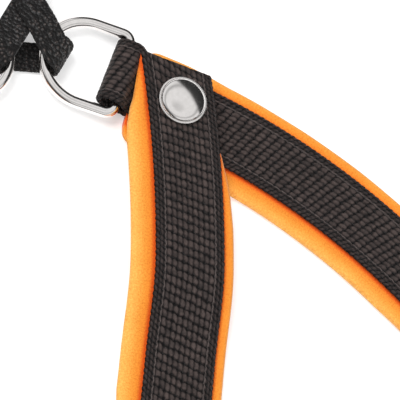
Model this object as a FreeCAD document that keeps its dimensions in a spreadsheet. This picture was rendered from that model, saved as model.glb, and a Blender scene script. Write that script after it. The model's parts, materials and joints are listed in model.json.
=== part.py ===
"""No-pull dog harness, lying flat and unbuckled. Millimetres, +Z up.

The harness is symmetric about X = 0. On each side a padded girth strap is folded round a D-ring and a
padded shoulder strap is riveted on top of it. A thin control strap runs through both D-rings and holds
the leash ring. The origin is the centre of the outline, on the surface that the harness lies on.
"""
import FreeCAD, Part
import math
import os
from FreeCAD import Placement, Rotation, Vector

os.makedirs("parts", exist_ok=True)
doc = FreeCAD.newDocument("harness")

DIMENSIONS = {
    "webbing_width": 20.0,
    "webbing_thick": 1.5,
    "pad_width": 30.0,
    "pad_thick": 3.2,
    "gap": 0.3,
    "rivet_x": 43.5,
    "rivet_y": 71.8,
    "girth_heading": -21.5,
    "girth_bend": 205.0,
    "girth_pad_length": 100.0,
    "girth_tail": 90.0,
    "shoulder_heading": -86.0,
    "shoulder_bend": 360.0,
    "shoulder_bent_length": 80.0,
    "shoulder_pad_length": 118.0,
    "shoulder_tail": 100.0,
    "ramp_start": 47.0,
    "ramp_end": 75.0,
    "post_radius": 2.0,
    "post_play": 0.08,
    "cap_radius": 7.1,
    "cap_rise": 2.9,
    "base_radius": 6.0,
    "base_thick": 0.7,
    "tab_heading": 158.0,
    "tab_length": 18.0,
    "tab_offset": 2.2,
    "tab_loop_radius": 2.2,
    "tab_slack": 1.0,
    "ring_heading": 164.0,
    "ring_half_width": 12.6,
    "ring_depth": 23.1,
    "leash_ring_half_width": 9.7,
    "leash_ring_depth": 20.0,
    "ring_corner": 2.6,
    "wire_radius": 1.7,
    "control_width": 9.0,
    "control_thick": 1.2,
    "control_loop_radius": 3.0,
    "control_fold_x": 7.7,
    "control_fold_y": 13.7,
    "control_fold_angle": 60.0,
    "control_leg_heading": 120.0,
    "stem_length": 44.0,
    "stem_loop_radius": 2.0,
    "tail_loop_radius": 1.8,
    "tail_lift": 0.3,
    "sewn_length": 15.0,
    "slider_length": 17.0,
    "slider_width": 26.0,
    "slider_rim": 2.6,
    "slider_from_pad": 28.5,
    "buckle_width": 27.0,
    "buckle_height": 7.0,
    "buckle_bar_radius": 1.5,
    "buckle_neck": 6.0,
    "socket_length": 24.0,
    "buckle_wall": 1.3,
    "thread": 0.5,
}

sheet = doc.addObject("Spreadsheet::Sheet", "size")
for row, (alias, number) in enumerate(DIMENSIONS.items(), 1):
    sheet.set("A%d" % row, alias)
    sheet.set("B%d" % row, str(number))
    sheet.setAlias("B%d" % row, alias)
doc.recompute()


def dim(alias):
    """The value of one cell of the sheet."""
    return float(sheet.get(alias))


def new(kind, name, **expressions):
    """A new object with its properties bound to the sheet, or to a plain number."""
    made = doc.addObject(kind, name)
    for prop, expression in expressions.items():
        made.setExpression(prop, str(expression))
    return made


def cell(alias):
    return "size." + alias


def at(thing, x, y, z=0.0, turn=0.0):
    thing.Placement = Placement(Vector(x, y, z), Rotation(Vector(0, 0, 1), turn))
    return thing


def box(name, length, width, height):
    return new("Part::Box", name, Length=length, Width=width, Height=height)


def cylinder(name, radius, height):
    return new("Part::Cylinder", name, Radius=radius, Height=height)


def cut(name, base, tool):
    made = doc.addObject("Part::Cut", name)
    made.Base = base
    made.Tool = tool
    made.Refine = True
    return made


def common(name, base, tool):
    made = doc.addObject("Part::Common", name)
    made.Base = base
    made.Tool = tool
    return made


def fuse(name, *shapes):
    made = doc.addObject("Part::MultiFuse", name)
    made.Shapes = list(shapes)
    made.Refine = True
    return made


def outline(name, start, *steps):
    """A closed sketch. Each step is the end of a line, or the middle and the end of an arc."""
    sketch = doc.addObject("Sketcher::SketchObject", name)
    here = Vector(start[0], start[1], 0)
    first = here
    for step in steps:
        if isinstance(step[0], tuple):
            middle = Vector(step[0][0], step[0][1], 0)
            end = Vector(step[1][0], step[1][1], 0)
            sketch.addGeometry(Part.ArcOfCircle(here, middle, end), False)
        else:
            end = Vector(step[0], step[1], 0)
            sketch.addGeometry(Part.LineSegment(here, end), False)
        here = end
    if (here - first).Length > 1e-6:
        sketch.addGeometry(Part.LineSegment(here, first), False)
    return sketch


def plate(name, sketch, thick, z=0.0):
    """A plan outline, extruded upward from z."""
    made = new("Part::Extrusion", name, LengthFwd=thick)
    made.Base = sketch
    made.DirMode = "Custom"
    made.Dir = Vector(0, 0, 1)
    made.Solid = True
    made.Placement = Placement(Vector(0, 0, z), Rotation())
    return made


def side_profile(name, sketch, width, x, y, heading):
    """A side view (distance along, height), extruded across the strap and turned to its heading."""
    made = new("Part::Extrusion", name, LengthFwd=width)
    made.Base = sketch
    made.DirMode = "Custom"
    made.Dir = Vector(0, 0, 1)
    made.Solid = True
    made.Symmetric = True
    upright = Placement(Vector(), Rotation(Vector(1, 0, 0), 90))
    made.Placement = Placement(Vector(x, y, 0), Rotation(Vector(0, 0, 1), heading)) * upright
    return made


def ahead(x, y, heading, distance, across=0.0):
    """The point at a distance along a heading, and to its left by across."""
    angle = math.radians(heading)
    return (
        x + distance * math.cos(angle) - across * math.sin(angle),
        y + distance * math.sin(angle) + across * math.cos(angle),
    )


class Bend:
    """A strap's centre line: an arc through the rivet that turns clockwise."""

    def __init__(self, heading, radius):
        self.heading = dim(heading)
        self.alias = radius
        self.radius = dim(radius)
        self.centre = ahead(dim("rivet_x"), dim("rivet_y"), self.heading, 0, -self.radius)

    def direction(self, along):
        return self.heading - math.degrees(along / self.radius)

    def point(self, along):
        return ahead(self.centre[0], self.centre[1], self.direction(along), 0, self.radius)

    def strip(self, name, width, thick, z, start, end):
        """A flat strip along the arc, from one distance past the rivet to another."""
        half = " + %s / 2" % width
        outer = cylinder(name + "_outer", cell(self.alias) + half, thick)
        outer.Angle = math.degrees((end - start) / self.radius)
        at(outer, self.centre[0], self.centre[1], z, self.direction(end) + 90)
        inner = cylinder(name + "_inner", cell(self.alias) + half.replace("+", "-"), thick)
        at(inner, self.centre[0], self.centre[1], z)
        return cut(name + "_strip", outer, inner)


girth = Bend("girth_heading", "girth_bend")
shoulder = Bend("shoulder_heading", "shoulder_bend")
RIVET = (dim("rivet_x"), dim("rivet_y"))
WEB = dim("webbing_thick")
PAD = dim("pad_thick")
GIRTH_TOP = PAD + WEB
LIFT = GIRTH_TOP + dim("gap")
CAP_UNDER = LIFT + GIRTH_TOP + dim("gap")
RING_Z = dim("base_thick") + WEB + dim("tab_loop_radius")
TAIL_Z = dim("tail_lift") + WEB + dim("tail_loop_radius")
TALL = 30.0
GIRTH_END = girth.point(dim("girth_pad_length"))
GIRTH_TURN = girth.direction(dim("girth_pad_length"))
BENT_END = shoulder.point(dim("shoulder_bent_length"))
SHOULDER_TURN = shoulder.direction(dim("shoulder_bent_length"))
GIRTH_BAR = ahead(*GIRTH_END, GIRTH_TURN, dim("girth_tail"))
SHOULDER_BAR = ahead(*BENT_END, SHOULDER_TURN, dim("shoulder_tail"))
TAB_BAR = ahead(*RIVET, dim("tab_heading"), dim("tab_length"), -dim("tab_offset"))
STEM_BAR = (0.0, dim("rivet_y") + dim("stem_length"))
STEM_Z = RING_Z + dim("control_loop_radius") - dim("stem_loop_radius")


def strap_loop(name, bar, heading, bar_z, inner, top_length, back_length, slack=0.0):
    """Webbing that runs along the top, round a bar and back underneath, as one folded strip."""
    outer = inner + WEB
    rise = 1.8
    foot = 5.0
    sketch = outline(
        name + "_outline",
        (-top_length, PAD),
        (-top_length, GIRTH_TOP),
        (-foot, GIRTH_TOP),
        (-rise, bar_z + outer),
        (slack, bar_z + outer),
        ((slack + outer, bar_z), (slack, bar_z - outer)),
        (-back_length, bar_z - outer),
        (-back_length, bar_z - inner),
        (slack, bar_z - inner),
        ((slack + inner, bar_z), (slack, bar_z + inner)),
        (-rise, bar_z + inner),
        (-foot, PAD),
    )
    return side_profile(name + "_loop", sketch, cell("webbing_width"), bar[0], bar[1], heading)


def post_hole(name, radius):
    hole = cylinder(name, radius, str(TALL))
    return at(hole, RIVET[0], RIVET[1], -1)


def girth_pad():
    """The soft pad under the girth webbing, hollowed underneath for the tab's sewn end."""
    strip = girth.strip("girth_pad", cell("pad_width"), cell("pad_thick"), 0, -13, dim("girth_pad_length"))
    end = at(cylinder("girth_pad_end", cell("pad_width") + " / 2", cell("pad_thick")), *GIRTH_END)
    recess_wide = cell("webbing_width") + " + 0.6"
    recess_high = cell("base_thick") + " + size.webbing_thick"
    sunk = box("tab_recess", "40", recess_wide, recess_high)
    beside = dim("webbing_width") / 2 + 0.3 - dim("tab_offset")
    corner = ahead(*RIVET, dim("tab_heading"), 32, beside)
    at(sunk, corner[0], corner[1], 0, dim("tab_heading") + 180)
    body = fuse("girth_pad_body", strip, end)
    hollow = cut("girth_pad_hollow", body, sunk)
    return cut("girth_pad_right", hollow, post_hole("girth_pad_hole", cell("post_radius")))


def girth_webbing():
    """The girth webbing: a tab folded round the D-ring, a bent run and a tail folded round the buckle."""
    back = dim("tab_length") + 8
    radius = dim("tab_loop_radius")
    tab = strap_loop("tab", TAB_BAR, dim("tab_heading"), RING_Z, radius, 27, back, dim("tab_slack"))
    run = girth.strip(
        "girth_run", cell("webbing_width"), cell("webbing_thick"), PAD, -4, dim("girth_pad_length")
    )
    tail = strap_loop(
        "girth_tail",
        GIRTH_BAR,
        GIRTH_TURN,
        TAIL_Z,
        dim("tail_loop_radius"),
        dim("girth_tail") + 1,
        dim("sewn_length"),
    )
    whole = fuse("girth_webbing_whole", tab, run, tail)
    return cut("girth_webbing_right", whole, post_hole("girth_webbing_hole", cell("post_radius")))


def ramp(name, bottom, thick):
    """The side view of a shoulder layer: raised over the girth strap, then down to the surface."""
    start = dim("ramp_start")
    step = (dim("ramp_end") - start) / 4
    low = bottom - LIFT
    under = [(-30, bottom), (start, bottom)]
    under += [(start + step, low + 0.86 * LIFT), (start + 2 * step, low + 0.5 * LIFT)]
    under += [(start + 3 * step, low + 0.14 * LIFT), (start + 4 * step, low), (TALL * 8, low)]
    over = [(along, height + thick) for along, height in reversed(under)]
    sketch = outline(name + "_side", under[0], *under[1:], *over)
    return side_profile(name + "_band", sketch, "240", RIVET[0], RIVET[1], -90)


def slanted_end(name):
    """The block above the shoulder strap's top end, which is trimmed parallel to the girth strap."""
    block = box(name, "80", "40", str(TALL))
    corner = ahead(*RIVET, 72, 11.6, 40)
    return at(block, corner[0], corner[1], -1, -18)


def shoulder_pad():
    """The pad under the shoulder webbing, narrowed to the webbing's width at its top end."""
    bent = shoulder.strip("shoulder_pad", cell("pad_width"), str(TALL), 0, -18, dim("shoulder_bent_length"))
    banded = common("shoulder_pad_banded", bent, ramp("shoulder_pad", LIFT, PAD))
    x, y = RIVET
    half = dim("webbing_width") / 2
    sketch = outline(
        "shoulder_taper",
        (x - half + 6, y + 16),
        (x + half, y + 16),
        (x + half + 0.5, y - 5),
        (x + half + 4.5, y - 27),
        (x + 60, y - 60),
        (x + 60, y - 220),
        (x - 120, y - 220),
        (x - 60, y - 60),
        (x - half - 6, y - 8),
        (x - half - 5, y - 3),
        (x - half - 2, y + 3),
        (x - half + 0.5, y + 8),
        (x - half + 4, y + 12),
    )
    tapered = common("shoulder_pad_tapered", banded, plate("shoulder_taper_plate", sketch, str(TALL)))
    trimmed = cut("shoulder_pad_trimmed", tapered, slanted_end("shoulder_pad_trim"))
    length = dim("shoulder_pad_length") - dim("shoulder_bent_length")
    straight = box("shoulder_pad_straight", "size.shoulder_pad_length - size.shoulder_bent_length",
                   cell("pad_width"), cell("pad_thick"))
    corner = ahead(*BENT_END, SHOULDER_TURN, 0, -dim("pad_width") / 2)
    at(straight, corner[0], corner[1], 0, SHOULDER_TURN)
    tip = ahead(*BENT_END, SHOULDER_TURN, length)
    end = at(cylinder("shoulder_pad_end", cell("pad_width") + " / 2", cell("pad_thick")), *tip)
    whole = fuse("shoulder_pad_whole", trimmed, straight, end)
    hole = post_hole("shoulder_pad_hole", "size.post_radius + size.post_play")
    return cut("shoulder_pad_right", whole, hole)


def shoulder_webbing():
    """The shoulder webbing, from its trimmed end over the rivet to the fold round its buckle."""
    bent = shoulder.strip(
        "shoulder_run", cell("webbing_width"), str(TALL), 0, -18, dim("shoulder_bent_length")
    )
    banded = common("shoulder_webbing_banded", bent, ramp("shoulder_webbing", LIFT + PAD, WEB))
    trimmed = cut("shoulder_webbing_trimmed", banded, slanted_end("shoulder_webbing_trim"))
    tail = strap_loop(
        "shoulder_tail",
        SHOULDER_BAR,
        SHOULDER_TURN,
        TAIL_Z,
        dim("tail_loop_radius"),
        dim("shoulder_tail") + 0.5,
        dim("sewn_length"),
    )
    whole = fuse("shoulder_webbing_whole", trimmed, tail)
    hole = post_hole("shoulder_webbing_hole", "size.post_radius + size.post_play")
    return cut("shoulder_webbing_right", whole, hole)


def revolved(name, sketch):
    made = doc.addObject("Part::Revolution", name)
    made.Source = sketch
    made.Axis = Vector(0, 1, 0)
    made.Base = Vector(0, 0, 0)
    made.Angle = 360
    made.Solid = True
    upright = Placement(Vector(), Rotation(Vector(1, 0, 0), 90))
    made.Placement = Placement(Vector(RIVET[0], RIVET[1], 0), Rotation()) * upright
    return made


def rivet_cap():
    """The domed cap with its rolled rim, on the post that goes down through both straps."""
    edge = dim("cap_radius")
    rim = CAP_UNDER + 0.7
    top = CAP_UNDER + dim("cap_rise")
    run = edge - 0.4
    dome = (run**2 + (top - rim) ** 2) / (2 * (top - rim))
    lean = 0.5 * math.asin(run / dome)
    middle = (dome * math.sin(lean), top - dome * (1 - math.cos(lean)))
    sketch = outline(
        "cap_section",
        (0, dim("base_thick")),
        (dim("post_radius"), dim("base_thick")),
        (dim("post_radius"), CAP_UNDER),
        (edge - 0.4, CAP_UNDER),
        ((edge, CAP_UNDER + 0.35), (edge - 0.4, rim)),
        (middle, (0, top)),
    )
    return revolved("rivet_cap_right", sketch)


def rivet_base():
    """The flat foot of the rivet, under the tab's sewn end."""
    foot = cylinder("rivet_base_right", cell("base_radius"), cell("base_thick"))
    return at(foot, *RIVET)


def wire_ring(name, bar, heading, z, half, depth):
    """A D-ring of round wire: a straight bar, rounded corners, two arms and a half-round end."""
    corner = dim("ring_corner")
    lean = corner * (1 - math.sqrt(0.5))
    spine = outline(
        name + "_spine",
        (0, corner - half),
        (0, half - corner),
        ((lean, half - lean), (corner, half)),
        (depth - half, half),
        ((depth, 0), (depth - half, -half)),
        (corner, -half),
        ((lean, lean - half), (0, corner - half)),
    )
    doc.recompute()
    made = doc.addObject("Part::Feature", name)
    path = Part.Wire(Part.__sortEdges__(spine.Shape.Edges))
    start = path.Edges[0].valueAt(path.Edges[0].FirstParameter)
    tangent = path.Edges[0].tangentAt(path.Edges[0].FirstParameter)
    profile = Part.Wire(Part.makeCircle(dim("wire_radius"), start, tangent))
    made.Shape = path.makePipeShell([profile], True, False)
    return at(made, bar[0], bar[1], z, heading)


def control_strap():
    """The thin strap: a bottom run, a slanted fold inside each D-ring, two legs and a sewn stem."""
    x = dim("control_fold_x")
    y = dim("rivet_y") + dim("control_fold_y")
    fold = dim("control_fold_angle")
    half = dim("control_width") / 2
    reach = half / math.sin(math.radians(fold))
    far = ahead(x, y, fold, reach)
    near = ahead(x, y, fold, -reach)
    slope = math.tan(math.radians(180 - dim("control_leg_heading")))
    shoulder_y = far[1] + (far[0] - half) * slope
    crotch_y = near[1] + near[0] * slope
    thick = cell("control_thick")
    top_z = RING_Z + dim("control_loop_radius")
    legs = outline(
        "legs_outline",
        far,
        (half, shoulder_y),
        (half, STEM_BAR[1]),
        (-half, STEM_BAR[1]),
        (-half, shoulder_y),
        (-far[0], far[1]),
        (-near[0], near[1]),
        (0, crotch_y),
        near,
    )
    bottom = outline("bottom_outline", far, (-far[0], far[1]), (-near[0], near[1]), near)
    bottom_z = RING_Z - dim("control_loop_radius") - dim("control_thick")
    pieces = [plate("legs", legs, thick, top_z), plate("bottom_run", bottom, thick, bottom_z)]
    for side in (1, -1):
        along = Vector(side * math.cos(math.radians(fold)), math.sin(math.radians(fold)), 0)
        inward = Vector(side * math.sin(math.radians(fold)), -math.cos(math.radians(fold)), 0)
        start = Vector(side * x, y, RING_Z) - along * reach
        frame = Rotation(inward.cross(along), inward, along, "XYZ")
        outer = new("Part::Cylinder", "fold_outer", Radius="size.control_loop_radius + size.control_thick")
        inner = new("Part::Cylinder", "fold_inner", Radius=cell("control_loop_radius"))
        for shell in (outer, inner):
            shell.Angle = 180
            shell.Height = 2 * reach
            shell.Placement = Placement(start, frame)
        pieces.append(cut("fold", outer, inner))
    inner_r = dim("stem_loop_radius")
    outer_r = inner_r + dim("control_thick")
    sewn = dim("control_thick")
    stem = outline(
        "stem_outline",
        (-14, STEM_Z + outer_r),
        (0, STEM_Z + outer_r),
        ((outer_r, STEM_Z), (0, STEM_Z - outer_r)),
        (-2, STEM_Z - outer_r),
        (-8, STEM_Z + inner_r - sewn),
        (-14, STEM_Z + inner_r - sewn),
    )
    void = outline(
        "stem_void_outline",
        (0, STEM_Z + inner_r),
        (-7.6, STEM_Z + inner_r),
        (-2, STEM_Z - inner_r),
        (0, STEM_Z - inner_r),
        ((inner_r, STEM_Z), (0, STEM_Z + inner_r)),
    )
    solid = side_profile("stem_solid", stem, cell("control_width"), *STEM_BAR, 90)
    hollow = side_profile("stem_void", void, cell("control_width") + " + 2", *STEM_BAR, 90)
    pieces.append(cut("stem", solid, hollow))
    return fuse("control_strap", *pieces)


def box_stitch(name, x, y, heading, z, length, width):
    """A sewn box with a cross, standing a thread's thickness proud of the webbing."""
    thread = dim("thread")
    rods = []
    diagonal = math.hypot(length - thread, width - thread)
    lean = math.degrees(math.atan2(width - thread, length - thread))
    rows = [
        (length, 0, 0, (width - thread) / 2),
        (length, 0, 0, -(width - thread) / 2),
        (width, 90, (length - thread) / 2, 0),
        (width, 90, -(length - thread) / 2, 0),
        (diagonal, lean, 0, 0),
        (diagonal, -lean, 0, 0),
    ]
    for long, turn, forward, across in rows:
        rod = box(name + "_rod", str(long), cell("thread"), cell("thread"))
        middle = ahead(x, y, heading, forward, across)
        corner = ahead(*middle, heading + turn, -long / 2, -thread / 2)
        rods.append(at(rod, corner[0], corner[1], z, heading + turn))
    return fuse(name, *rods)


def slider(name, start, heading, along):
    """A three-bar slide: end bars over the webbing, a middle bar under it and a rail at each side."""
    long = dim("slider_length")
    wide = dim("slider_width")
    rim = dim("slider_rim")
    gap = dim("gap")
    foot = 0.8
    top = GIRTH_TOP + gap + 1.8
    rail_width = (wide - dim("webbing_width")) / 2 - 0.4
    parts = []
    for side in (1, -1):
        rail = box(name + "_rail", cell("slider_length"), str(rail_width), str(top - foot))
        offset = side * (wide - rail_width) / 2 - rail_width / 2
        corner = ahead(*start, heading, along - long / 2, offset)
        parts.append(at(rail, corner[0], corner[1], foot, heading))
    for centre, low, high in (
        ((rim - long) / 2, GIRTH_TOP + gap, top),
        ((long - rim) / 2, GIRTH_TOP + gap, top),
        (0, foot, PAD - gap),
    ):
        bar = box(name + "_bar", cell("slider_rim"), cell("slider_width"), str(high - low))
        corner = ahead(*start, heading, along + centre - rim / 2, -wide / 2)
        parts.append(at(bar, corner[0], corner[1], low, heading))
    return fuse(name, *parts)


def buckle_neck(name, bar, heading):
    """The round bar that the webbing folds over, and the two ears that carry it."""
    wide = dim("buckle_width")
    tall = dim("buckle_height")
    ear = (wide - dim("webbing_width")) / 2 - 0.5
    parts = []
    for side in (1, -1):
        reach = "size.buckle_neck + size.buckle_bar_radius"
        piece = box(name + "_ear", reach, str(ear), "size.buckle_height - 1.6")
        corner = ahead(*bar, heading, -dim("buckle_bar_radius"), side * (wide - ear) / 2 - ear / 2)
        parts.append(at(piece, corner[0], corner[1], TAIL_Z - tall / 2 + 0.8, heading))
    rod = cylinder(name + "_bar", cell("buckle_bar_radius"), cell("buckle_width"))
    end = ahead(*bar, heading, 0, wide / 2)
    flat = Rotation(Vector(0, 0, 1), heading) * Rotation(Vector(1, 0, 0), 90)
    rod.Placement = Placement(Vector(end[0], end[1], TAIL_Z), flat)
    parts.append(rod)
    return parts


def block(name, bar, heading, near, far, left, right, low, high):
    """A block between two distances from the bar, two offsets across and two heights."""
    made = box(name, str(far - near), str(left - right), str(high - low))
    corner = ahead(*bar, heading, near, right)
    return at(made, corner[0], corner[1], low, heading)


def buckle_socket(name, bar, heading):
    """The hollow half of a side-release buckle, open at its mouth and at both sides."""
    wide = dim("buckle_width") / 2
    low = TAIL_Z - dim("buckle_height") / 2
    high = TAIL_Z + dim("buckle_height") / 2
    wall = dim("buckle_wall")
    neck = dim("buckle_neck")
    far = neck + dim("socket_length")
    shell = block(name + "_shell", bar, heading, neck, far, wide, -wide, low, high)
    back = neck + wall
    cavity = block(
        name + "_cavity", bar, heading, back, far + 1, wide - wall, wall - wide, low + wall, high - wall
    )
    window = block(
        name + "_window", bar, heading, neck + 5, neck + 13, wide + 1, -wide - 1, low + wall, high - wall
    )
    hollow = cut(name + "_hollow", cut(name + "_housing", shell, cavity), window)
    return fuse(name, hollow, *buckle_neck(name, bar, heading))


def buckle_plug(name, bar, heading):
    """The pronged half: a cross block, two barbed prongs and a middle guide."""
    wide = dim("buckle_width") / 2
    low = TAIL_Z - dim("buckle_height") / 2
    high = TAIL_Z + dim("buckle_height") / 2
    neck = dim("buckle_neck")
    thin_low = TAIL_Z - 1.8
    thin_high = TAIL_Z + 1.8
    parts = [block(name + "_block", bar, heading, neck, neck + 4.5, wide, -wide, low, high)]
    parts.append(block(name + "_guide", bar, heading, neck + 4, neck + 19, 2.2, -2.2, thin_low, thin_high))
    for side in (1, -1):
        points = [(neck + 4, 8.2), (neck + 4, 11.2), (neck + 10, 10.6), (neck + 12, 13.0), (neck + 14, 13.0)]
        points += [(neck + 24, 9.0), (neck + 24, 6.6), (neck + 21, 6.6)]
        place = [ahead(*bar, heading, along, side * across) for along, across in points]
        prong = outline(name + "_prong_outline", place[0], *place[1:])
        parts.append(plate(name + "_prong", prong, str(thin_high - thin_low), thin_low))
    return fuse(name, *parts, *buckle_neck(name, bar, heading))


def mirrored(source, label):
    """The left-hand copy of a right-hand piece."""
    made = doc.addObject("Part::Mirroring", label)
    made.Source = source
    made.Normal = Vector(1, 0, 0)
    made.Base = Vector(0, 0, 0)
    return made


def sewn_box(name, bar, heading):
    spot = ahead(*bar, heading, -10.5)
    return box_stitch(name, spot[0], spot[1], heading, GIRTH_TOP, 8, 14)


def both_sides(made):
    """Keeps a right-hand piece and its left-hand copy as two nodes."""
    label = made.Label
    return [made, mirrored(made, label.replace("_right", "_left"))]


nodes = []
nodes += both_sides(girth_pad())
nodes += both_sides(girth_webbing())
nodes += both_sides(shoulder_pad())
nodes += both_sides(shoulder_webbing())
nodes += both_sides(rivet_cap())
nodes += both_sides(rivet_base())
nodes += both_sides(
    wire_ring(
        "d_ring_right", TAB_BAR, dim("ring_heading"), RING_Z, dim("ring_half_width"), dim("ring_depth")
    )
)
nodes += both_sides(slider("girth_slider_right", GIRTH_END, GIRTH_TURN, dim("slider_from_pad")))
SHOULDER_PAD_TIP = ahead(
    *BENT_END, SHOULDER_TURN, dim("shoulder_pad_length") - dim("shoulder_bent_length")
)
nodes += both_sides(
    slider("shoulder_slider_right", SHOULDER_PAD_TIP, SHOULDER_TURN, dim("slider_from_pad"))
)
nodes += both_sides(sewn_box("girth_stitching_right", GIRTH_BAR, GIRTH_TURN))
nodes += both_sides(sewn_box("shoulder_stitching_right", SHOULDER_BAR, SHOULDER_TURN))
nodes.append(buckle_socket("girth_buckle_socket", GIRTH_BAR, GIRTH_TURN))
nodes.append(buckle_socket("shoulder_buckle_socket", SHOULDER_BAR, SHOULDER_TURN))
nodes.append(
    mirrored(buckle_plug("girth_plug_right_hand", GIRTH_BAR, GIRTH_TURN), "girth_buckle_plug")
)
nodes.append(
    mirrored(buckle_plug("shoulder_plug_right_hand", SHOULDER_BAR, SHOULDER_TURN), "shoulder_buckle_plug")
)
nodes.append(control_strap())
nodes.append(
    wire_ring("leash_ring", STEM_BAR, 90, STEM_Z, dim("leash_ring_half_width"), dim("leash_ring_depth"))
)
stem_top = STEM_Z + dim("stem_loop_radius") + dim("control_thick")
nodes.append(box_stitch("control_stitching", 0, STEM_BAR[1] - 11, 90, stem_top, 5.5, 7))

doc.recompute()
failed = [thing.Name for thing in doc.Objects if {"Invalid", "Error"} & set(thing.State)]
for node in nodes:
    if node.Shape.isNull() or not node.Shape.isValid() or node.Shape.Volume < 0.1:
        failed.append(node.Label)
if failed:
    raise RuntimeError("failed objects: %s" % failed)

for node in nodes:
    node.Shape.exportStep("parts/%s.step" % node.Label)
    print("%-26s %10.1f mm3 %d solid" % (node.Label, node.Shape.Volume, len(node.Shape.Solids)))
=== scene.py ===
"""No-pull dog harness on a pale surface. Metres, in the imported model's frame."""
import json
import math

import bmesh
import bpy
import numpy as np
from mathutils import Matrix, Vector

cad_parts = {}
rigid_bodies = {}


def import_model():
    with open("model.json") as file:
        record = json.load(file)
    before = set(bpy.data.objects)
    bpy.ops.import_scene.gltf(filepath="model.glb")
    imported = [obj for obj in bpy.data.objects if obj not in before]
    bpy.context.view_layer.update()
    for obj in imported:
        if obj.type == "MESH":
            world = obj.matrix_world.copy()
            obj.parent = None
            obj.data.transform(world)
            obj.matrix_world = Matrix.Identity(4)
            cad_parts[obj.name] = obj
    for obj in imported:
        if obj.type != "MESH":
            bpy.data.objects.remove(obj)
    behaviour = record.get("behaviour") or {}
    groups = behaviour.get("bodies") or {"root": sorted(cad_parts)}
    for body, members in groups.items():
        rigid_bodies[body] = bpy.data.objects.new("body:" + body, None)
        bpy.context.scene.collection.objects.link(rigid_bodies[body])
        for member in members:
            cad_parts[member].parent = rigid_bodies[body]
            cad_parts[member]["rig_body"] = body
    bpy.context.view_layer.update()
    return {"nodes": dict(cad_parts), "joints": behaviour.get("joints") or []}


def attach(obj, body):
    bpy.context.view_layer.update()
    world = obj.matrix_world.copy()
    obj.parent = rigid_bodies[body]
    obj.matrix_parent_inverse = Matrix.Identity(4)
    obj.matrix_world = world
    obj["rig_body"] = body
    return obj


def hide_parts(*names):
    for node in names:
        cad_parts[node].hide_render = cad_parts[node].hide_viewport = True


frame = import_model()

MM = 0.001

# Lengths are in millimetres, and headings in degrees anticlockwise from +X.
# Places come from the frame's joints.

# Webbing
WEBBING_WIDTH = 20.0
WEBBING_THICK = 1.5
WEBBING_EDGE = 0.7
WEBBING_COLUMNS = 51
WEBBING_SPREAD = 1.3
LINE_STEP = 0.34
TAIL_CLEARANCE = 0.3
TAIL_LEAD = 6.2
BAR_LEAD = 1.8
SEWN_LENGTH = 15.0
SCALLOP_INSET = 0.12
SCALLOP_DEPTH = 0.17

# The weave: its pitches, and how deep and sharp its gaps are
WEAVE_COLUMN = 1.55
WEAVE_ROW = 2.45
WEAVE_SLANT = -0.21
WEAVE_LEAN = -0.13
WEAVE_DEPTH = 0.28
SELVEDGE_WIDTH = 2.6
SELVEDGE_COLUMN = 1.05
SELVEDGE_ROW = 1.7
SELVEDGE_SLANT = -0.5
SELVEDGE_LEAN = -0.25
SELVEDGE_SEAM = 2.75
RIDGE_DEPTH, RIDGE_POWER = 0.35, 2.4
ROW_DEPTH, ROW_POWER = 0.6, 4
HOLE_DEPTH, HOLE_POWER = 0.9, 3
DEEPEST_DIP = 1.2

# Pads
PAD_WIDTH = 30.0
PAD_THICK = 3.2
PAD_EDGE = 1.5
PAD_COLUMNS = 46
PAD_SPREAD = 1.0
PAD_STEP = 0.55
PAD_TIP_GAP = 0.02
PAD_CORNER = 4.5
PAD_PRESSED = 0.38
PAD_SINK = 0.08
PAD_MARGIN = 2.6
PAD_MARGIN_BLEND = 2.4

# Shared by every strap and pad: columns crowd towards the edges, and the edges thin out
COLUMN_CROWDING = 0.11
THINNEST_EDGE = 0.06
SLANT_REACH = 22.0
SLANT_POWER = 1.5
UNDERSIDE_SHIFT = 0.7

# Girth strap, from the rivet outwards, and its tab round the D-ring
GIRTH_HEADING = -21.5
GIRTH_BEND = 205.0
GIRTH_PAD_START = -13.0
GIRTH_PAD_LENGTH = 100.0
GIRTH_PAD_SHIFT = 0.8
TAB_HEADING = 158.0
TAB_SLACK = 1.0
TAB_BACK = 26.0
TAB_CLEARANCE = 0.7
TAB_LANDING = (5.0, 6.5)

# Shoulder strap, held up over the girth strap and then let down
SHOULDER_HEADING = -86.0
SHOULDER_BEND = 360.0
SHOULDER_START = -11.6
SHOULDER_SLANT = 0.44
SHOULDER_BENT = 80.0
SHOULDER_PAD_LENGTH = 118.0
SHOULDER_PAD_SHIFT = 1.5
LIFT = 5.0
RAMP_START = 47.0
RAMP_END = 75.0

# Rings
RING_HEADING = 164.0
WIRE_RADIUS = 1.7
WIRE_SIDES = 20
WIRE_STEP = 0.5
RING_CORNER = 2.6
RING_HALF = 12.6
RING_DEPTH = 23.1
LEASH_HALF = 9.7
LEASH_DEPTH = 20.0

# Control strap: its fold round a D-ring is measured from the middle and from the rivet
CONTROL_WIDTH = 9.0
CONTROL_THICK = 1.2
CONTROL_EDGE = 0.5
CONTROL_COLUMNS = 31
CONTROL_SPREAD = 1.0
CONTROL_STEP = 0.35
CONTROL_LOOP = 3.0
CONTROL_FOLD = (7.7, 13.7)
CONTROL_FOLD_ANGLE = 60.0
FOLD_STRETCH = 1.15
STEM_LOOP = 2.0
KNIT_PITCH = 1.15
KNIT_DEPTH = 0.3
KNIT_POWER = 2.4

# Rivet
CAP_RADIUS = 7.1
CAP_RISE = 2.9
CAP_HOLLOW = 5.6
CAP_GAP = 0.1
POST_RADIUS = 2.0
POST_FOOT = 0.7
RIM_RADIUS = 0.32
RIM_HEIGHT = 0.42
DOME_FOOT = 0.68
DOME_INSET = 0.52
DOME_POWER = 0.94

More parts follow.
